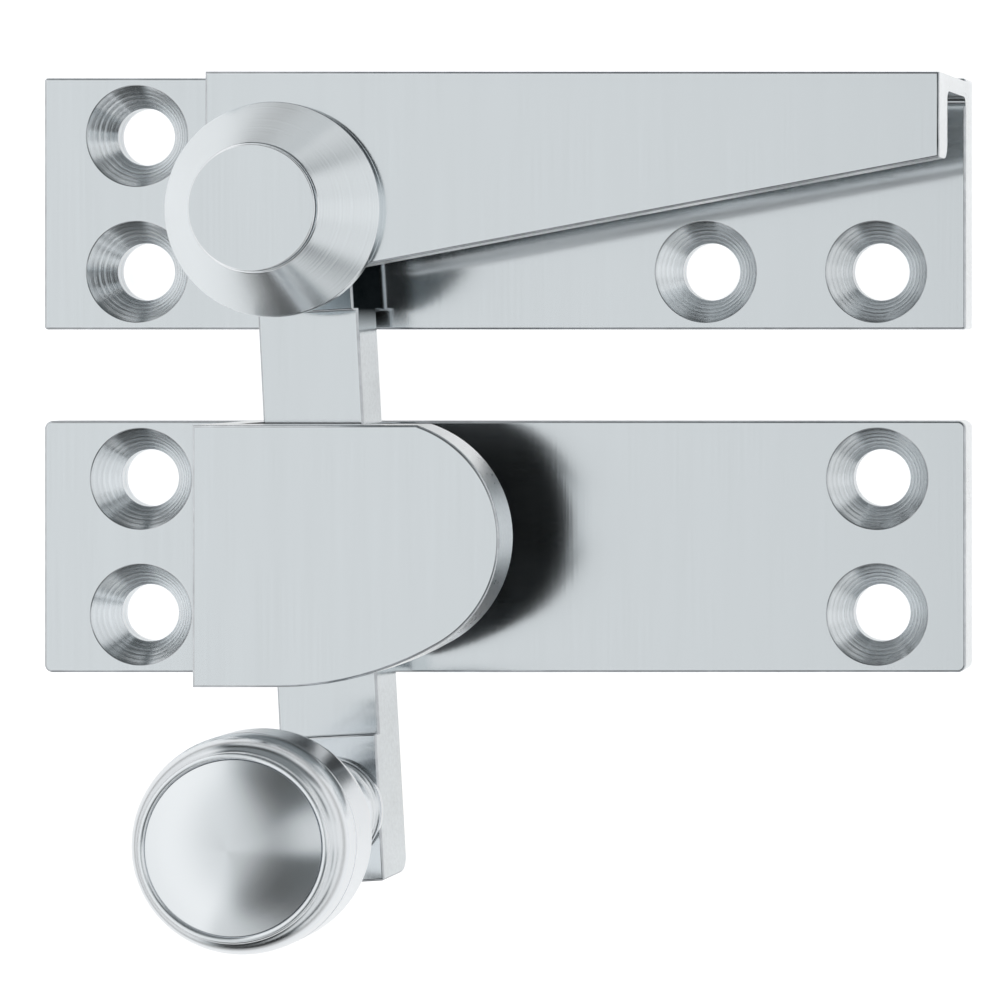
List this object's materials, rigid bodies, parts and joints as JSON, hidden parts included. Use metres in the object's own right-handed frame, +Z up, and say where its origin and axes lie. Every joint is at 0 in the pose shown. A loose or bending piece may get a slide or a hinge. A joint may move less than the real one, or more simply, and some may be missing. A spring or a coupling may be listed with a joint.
{
  "type": "sash window fastener",
  "caption": "Straight-arm sash window fastener: a knobbed arm swings out from under a wedge-shaped shelf and passes beneath a D-shaped cam plate on a separate keep.",
  "frame": {"origin": "middle of the underside of the whole assembly's footprint, with the arm nearly closed over the keep", "axes": "+X along the plates towards the side the arm opens to, +Y from the keep to the body, +Z up off the sash rails"},
  "size_m": [0.093, 0.0828, 0.0366],
  "materials": {
    "satin_chrome": "fine brushed satin chrome plate on brass",
    "bright_chrome": "turned and spun chrome plate on brass",
    "plain_brass": "plain turned brass",
    "washer_steel": "plain spring steel"
  },
  "bodies": {
    "body_unit": {"body": "satin_chrome", "pivot_pin": "satin_chrome", "pivot_collar": "satin_chrome", "lower_thrust_washer": "washer_steel", "upper_thrust_washer": "washer_steel", "wave_washer": "washer_steel"},
    "arm_unit": {"arm": "satin_chrome", "knob": "bright_chrome", "knob_screw": "plain_brass"},
    "keep_unit": {"keep": "satin_chrome"}
  },
  "joints": [
    {"name": "arm_swing", "type": "hinge", "parent": "body_unit", "child": "arm_unit", "pos_m": [-0.0177, 0.02767, 0.008], "axis": [0, 0, 1], "range_deg": [-3.2, 85]},
    {"name": "sash_draw", "type": "slide", "parent": "body_unit", "child": "keep_unit", "axis": [0, 1, 0], "range_m": [-0.007, 0.004]}
  ]
}
